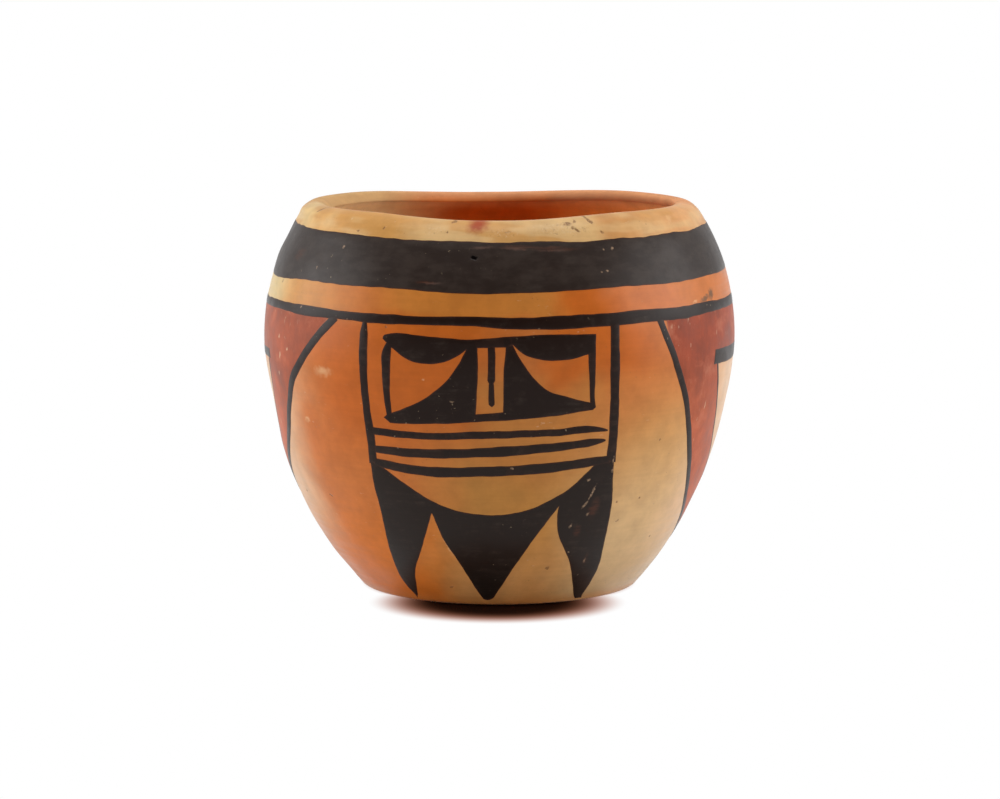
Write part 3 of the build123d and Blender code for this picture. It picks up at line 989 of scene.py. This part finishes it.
# Fire colours, each laid over those before: colour, azimuths in degrees, heights in millimetres, share
FIRE_COLOURS = [
    (DEEP_ORANGE, (-58, -38, -8, 12), (28, 44)),
    (OCHRE, (-8, 4, 18, 36), (32, 40, 50, 57), 0.6),
    (DEEP_ORANGE, (14, 22, 32, 46), (46, 54)),
    (BRIGHT_ORANGE, (-80, -58, -24, 0), (26, 12)),
    (PALE_ORANGE, (-130, -100, -66, -48), (8, 20), 0.5),
    (OCHRE, (-26, -4, 20, 70), (46, 26)),
    (TOP_OCHRE, (-34, -20, 14, 24), (62, 65, 70, 74), 0.75),
    (LOW_OCHRE, (-28, -4, 20, 34), (22, 8)),
    (TAN, (14, 48, 110, 150), (54, 32)),
    (BUFF, (16, 43, 110, 150), (42, 16)),
    (CREAM, (50, 76, 104, 150), (4, 24, 48, 56)),
    (CREAM, (-150, -104, -76, -50), (4, 24, 48, 56)),
    (PINK, (26, 36, 42, 54), (57, 64)),
]
SHOULDER_COLOURS = [
    (PALE_BUFF, (-150, -110, -62, -16), (60, 65)),
    (STRAW, (-130, -100, -73, -58), (60, 65)),
]
RIM_COLOURS = [
    (RIM_ORANGE, (-54, -46, -26, -12)),
    (RIM_PINK, (28, 37, 46, 60)),
    (RIM_ROSE, (46, 60, 100, 140)),
    (RIM_PALE, (-110, -80, -56, -47)),
    (RIM_STRAW, (-110, -80, -67, -58)),
]

# Marks: azimuth in degrees, height, half length and half width in millimetres, tilt in degrees
RIM_BLUSH = [(-3.4, 81.75, 3.8, 2.2, 8)]
CLAY_PITS = [
    (-10.5, 82.2, 0.9, 0.35, 15), (-11.6, 80.4, 0.35, 0.25, 0), (21.8, 81.8, 1.6, 0.4, 6),
    (24.2, 82.2, 0.6, 0.35, 20), (28.4, 82.6, 1.3, 0.5, -50), (29.2, 82.1, 0.5, 0.4, 0),
    (24.0, 80.6, 0.9, 0.35, -30), (23.0, 81.1, 0.45, 0.35, 40), (31.4, 79.9, 0.65, 0.4, -20),
    (-62.5, 82.9, 1.3, 0.4, 30), (-38.8, 79.9, 0.5, 0.3, 0), (-30.6, 80.6, 0.45, 0.3, 20),
    (-24.8, 61.1, 0.4, 0.35, 0), (-66.7, 22.6, 0.4, 0.4, 0), (-50.8, 23.2, 0.9, 0.25, 5),
    (18.4, 9.2, 0.9, 0.35, 12), (-15.0, 4.5, 0.9, 0.3, 4), (43.7, 23.7, 0.45, 0.35, 20),
    (37.9, 19.2, 0.6, 0.3, 40), (36.1, 23.4, 0.35, 0.3, 0), (55.6, 14.0, 0.45, 0.4, 0),
    (46.5, 36.2, 0.35, 0.3, 0), (-66.0, 67.8, 0.5, 0.3, 80),
]
SMEARS = [(63.0, 64.8, 3.4, 0.8, 10), (66.6, 65.5, 2.2, 1.5, 30)]
SANDY_PATCHES = [(20.0, 80.8, 11.0, 1.7, 0), (4.0, 80.2, 5.0, 1.0, 0), (-15.0, 80.6, 4.0, 1.0, 0)]
CLAY_CHIPS = [
    (58.4, 81.6, 1.8, 0.9, 20), (58.0, 64.5, 1.4, 0.4, 8), (-53.2, 39.7, 1.4, 0.8, 0),
    (-43.6, 50.7, 3.8, 1.5, 4), (-15.1, 50.8, 0.5, 0.4, 0), (-13.0, 14.5, 0.7, 3.4, 28),
]
PAINT_SCRATCHES = [
    (-41.9, 76.5, 0.6, 0.45, 0), (30.5, 76.6, 0.4, 0.35, 0), (33.2, 76.8, 0.45, 0.3, 10),
    (28.7, 72.2, 0.35, 0.3, 0), (30.4, 72.3, 0.45, 0.28, 20), (-49.4, 71.8, 0.4, 0.25, 60),
    (26.0, 29.0, 0.6, 0.5, 0), (27.6, 25.9, 2.6, 0.35, 70), (26.2, 23.5, 1.5, 0.4, 50),
    (27.6, 21.3, 0.55, 0.45, 0), (23.1, 18.8, 0.7, 0.4, 60), (32.3, 33.0, 0.9, 0.35, 80),
    (32.6, 30.8, 0.8, 0.35, 75), (-8.5, 46.2, 0.6, 0.4, 0), (5.7, 32.0, 0.45, 0.4, 0),
    (-52.8, 63.5, 0.6, 0.3, 10), (30.9, 10.4, 0.8, 0.4, 80), (24.4, 12.8, 0.4, 0.3, 0),
]
BROWN_PATCHES = [
    (31.0, 10.9, 1.0, 1.8, 0), (29.0, 22.5, 1.8, 3.2, -10), (8.0, 77.5, 6.0, 0.7, 0),
    (17.0, 77.1, 8.0, 0.6, -2), (-16.0, 70.4, 3.0, 0.5, 0), (-60.0, 74.0, 3.0, 1.6, 20),
    (25.5, 17.5, 1.4, 1.8, 0),
]
PAINT_SCUFFS = [
    (7.5, 77.3, 5.5, 0.7, -1), (15.5, 77.0, 6.0, 0.8, -3), (-2.0, 77.4, 4.0, 0.5, 2),
    (-14.0, 70.2, 3.0, 0.4, 0),
]
PAINT_PITS = [(-3.8, 75.4, 0.9, 0.6, 0)]
SLIP_CHIPS = [
    (-63.6, 56.4, 0.7, 0.4, 60), (-58.8, 54.1, 0.6, 0.4, 20), (-63.1, 52.4, 1.0, 0.5, 80),
    (-64.9, 48.4, 0.8, 0.4, 70), (64.0, 42.0, 1.4, 0.3, 80),
]

clay = clay_material()
black = black_material()
red = red_material()

make_clay(clay)
make_band(
    "shoulder_band",
    lambda t: (68.4 + 0.7 * smooth(10, 40, turn_from(t, 0)) - 0.7 * near(t, -85, 10, 40)
               + 0.3 * near(t, 85, 10, 40)),
    lambda t: 79.1 - 0.25 * np.cos(t) - 0.38 * np.cos(2 * t) - 0.3 * np.sin(t),
    21, BLACK_LIFT, black,
)
make_band(
    "framing_line",
    lambda t: 61.85 - 0.1 * np.cos(t - 1.0) - 0.7 * near(t, 11, 5, 16) - 0.35 * near(t, 32, 8, 30),
    lambda t: 63.85 + 0.2 * np.cos(t - 0.5) - 0.42 * near(t, -8, 12, 40),
    31, BLACK_LIFT + 0.008, black,
)
make_panel("front", 0.0, 1, black)
make_panel("back", pi, 2, black)
make_wing(
    "right", 1, 1.75,
    [(43.6, FRAME_HEIGHT), (46.5, 57.0), (49.9, 51.1), (53.7, 45.2), (57.0, 39.1), (61.3, 32.1),
     (65.6, 26.0), (71.0, 20.0), (79.0, 14.0)],
    66.0, (53.7, 50.4), [(68.4, 51.0), (70.5, 45.5), (74.4, 38.1), (80.0, 30.0)], (9.5, 21.0), black, red,
)
make_wing(
    "left", -1, 1.95,
    [(39.4, FRAME_HEIGHT), (45.8, 57.4), (51.5, 52.8), (57.5, 47.4), (62.7, 41.0), (67.0, 35.5),
     (73.8, 28.9), (80.6, 23.6)],
    71.5, (53.0, 50.9), [(73.4, 51.4), (75.0, 45.5), (78.4, 38.1), (83.0, 31.0)], (18.0, 25.0), black, red,
)


# Floor, light and camera

FLOOR_HALF = 3.0
FLOOR_PALE = (0.86, 0.86, 0.86)
FLOOR_SHADE = (0.37, 1.0)  # the painted shadow in front fades between these shares of its size
FLOOR_SHADE_PLACE = (0.0008, -0.0252, 0.0)
FLOOR_SHADE_SIZE = (0.0278, 0.0250, 1.0)
FOOT_SHADE = (0.022, 0.0304)  # and the painted shadow ring round the foot between these radii
FLOOR_FALL = 2.4
# dark floor colour painted where the jar's shadow falls
FLOOR_PAINTED_SHADOW = (0.025, 0.010, 0.006)
# warm painted bounce light from the jar, at the painted shadow's edge
FLOOR_PAINTED_BOUNCE = (1.0, 0.34, 0.17)
TENT_FRONT = 0.18
TENT_SIDES = 0.54
TENT_TURN = (-0.95, -0.05)
VIEW_AZIMUTH = radians(2.5)
VIEW_ELEVATION = radians(7.55)
VIEW_DISTANCE = 0.8
VIEW_LENS = 132.1
SENSOR_WIDTH = 36.0
AIM = Vector((0.0002, 0.0, 0.0401))


def make_floor():
    """A pale floor that is plain white to the camera away from the jar, with a painted shadow and a warm
    painted fringe near it.
    """
    mesh = bpy.data.meshes.new("floor")
    corners = [(x * FLOOR_HALF, y * FLOOR_HALF, 0) for x, y in ((-1, -1), (1, -1), (1, 1), (-1, 1))]
    mesh.from_pydata(corners, [], [(0, 1, 2, 3)])
    floor = add_object("floor", mesh)
    n = Nodes(bpy.data.materials.new("floor"))
    mesh.materials.append(n.owner)
    n.tree.nodes.remove(n.tree.nodes["Principled BSDF"])
    place = n.add("TexCoord").outputs["Object"]
    local = n.add("Mapping", place, vector_type="TEXTURE")
    n.fill(local, Location=FLOOR_SHADE_PLACE, Scale=FLOOR_SHADE_SIZE)
    # painted shadow: full in an ellipse in front of the foot and in a ring round it, fading out to the white
    # floor
    in_front = n.slope(n.length(local.outputs[0]), *FLOOR_SHADE)
    away = n.math("MINIMUM", in_front, n.slope(n.length(place), *FOOT_SHADE))
    away = n.math("POWER", away, FLOOR_FALL)
    # the white that the camera sees is tinted warm towards the painted shadow, as painted bounce light
    white = n.add("Emission", n.mix(away, FLOOR_PAINTED_BOUNCE, WHITE))
    # within the painted shadow the camera sees this dark floor colour
    shown = n.blend(away, n.add("BsdfDiffuse", FLOOR_PAINTED_SHADOW), white)
    matt = n.add("BsdfDiffuse", FLOOR_PALE)
    n.show(n.blend(n.seen("Camera", "Glossy", "Transmission"), matt, shown), "Material Output")


def make_world():
    """A white tent that is open, and darker, on the side of the camera."""
    world = bpy.data.worlds.new("tent")
    scene.world = world
    n = Nodes(world)
    _, depth, _ = n.add("SeparateXYZ", n.add("TexCoord").outputs["Generated"]).outputs
    strength = n.slope(depth, *TENT_TURN, TENT_FRONT, TENT_SIDES)
    tent = n.fill(n.tree.nodes["Background"], Color=WHITE, Strength=strength)
    white = n.add("Background", WHITE)
    n.show(n.blend(n.seen("Camera", "Transmission"), tent, white), "World Output")


def look_from(item, place):
    """Puts a lamp or the camera at a place, turned to the jar."""
    item.location = place
    item.rotation_euler = (AIM - place).to_track_quat("-Z", "Y").to_euler()


def softbox(name, place, size, power):
    lamp = bpy.data.lights.new(name, "AREA")
    lamp.shape = "RECTANGLE"
    lamp.size, lamp.size_y = size
    lamp.energy = power
    look_from(add_object(name, lamp), Vector(place))


make_floor()
make_world()
for light, across in (("light_left", -0.7), ("light_right", 0.7)):
    softbox(light, (across, 0.0, 0.22), (0.6, 0.44), 2.9)
softbox("light_top", (0.0, -0.05, 0.9), (0.7, 0.5), 5.0)

camera = add_object("camera", bpy.data.cameras.new("camera"))
camera.data.lens = VIEW_LENS
camera.data.sensor_width = SENSOR_WIDTH
look_from(camera, AIM + VIEW_DISTANCE * Vector((
    sin(VIEW_AZIMUTH) * cos(VIEW_ELEVATION), -cos(VIEW_AZIMUTH) * cos(VIEW_ELEVATION), sin(VIEW_ELEVATION)
)))
scene.camera = camera
scene.view_settings.view_transform = "Standard"
